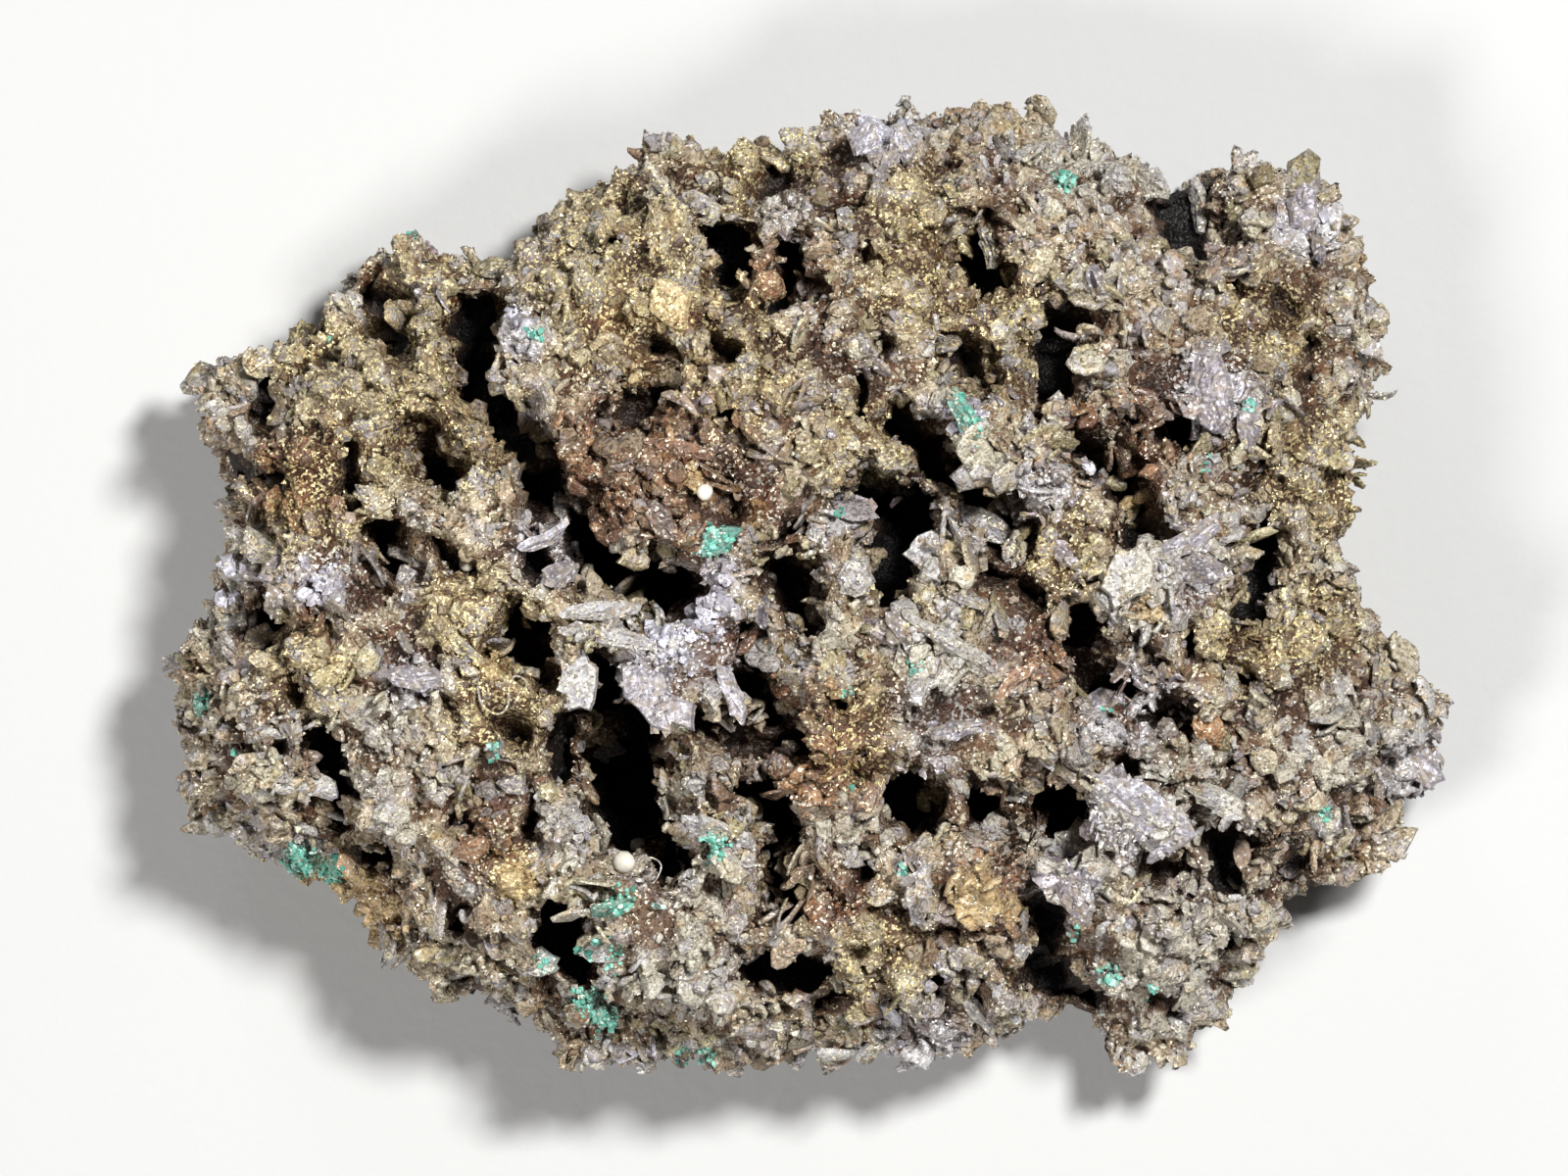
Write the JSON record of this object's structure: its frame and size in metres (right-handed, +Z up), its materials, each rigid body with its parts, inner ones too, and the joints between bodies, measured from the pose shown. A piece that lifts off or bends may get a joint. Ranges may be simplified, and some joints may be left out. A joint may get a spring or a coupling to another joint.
{
  "type": "polybasite mineral specimen",
  "caption": "Domed crust of tabular polybasite crystals dusted with golden micro-crystals, with deep pits and clefts, cut flat at the back to lie on a shelf.",
  "frame": {"origin": "on the ground plane, under the middle of the specimen's box", "axes": "+Z up, away from the flat cut that the specimen rests on; +X along the longest side, towards the rounded lobe at the right of the picture; +Y towards the picture's top edge"},
  "size_m": [0.0552, 0.0418, 0.022],
  "materials": {
    "ore": "dull grey-brown to lilac metallic crystals dusted with gold and bronze glints, stained rust and green"
  },
  "bodies": {
    "root": {"polybasite": "ore"}
  },
  "joints": []
}
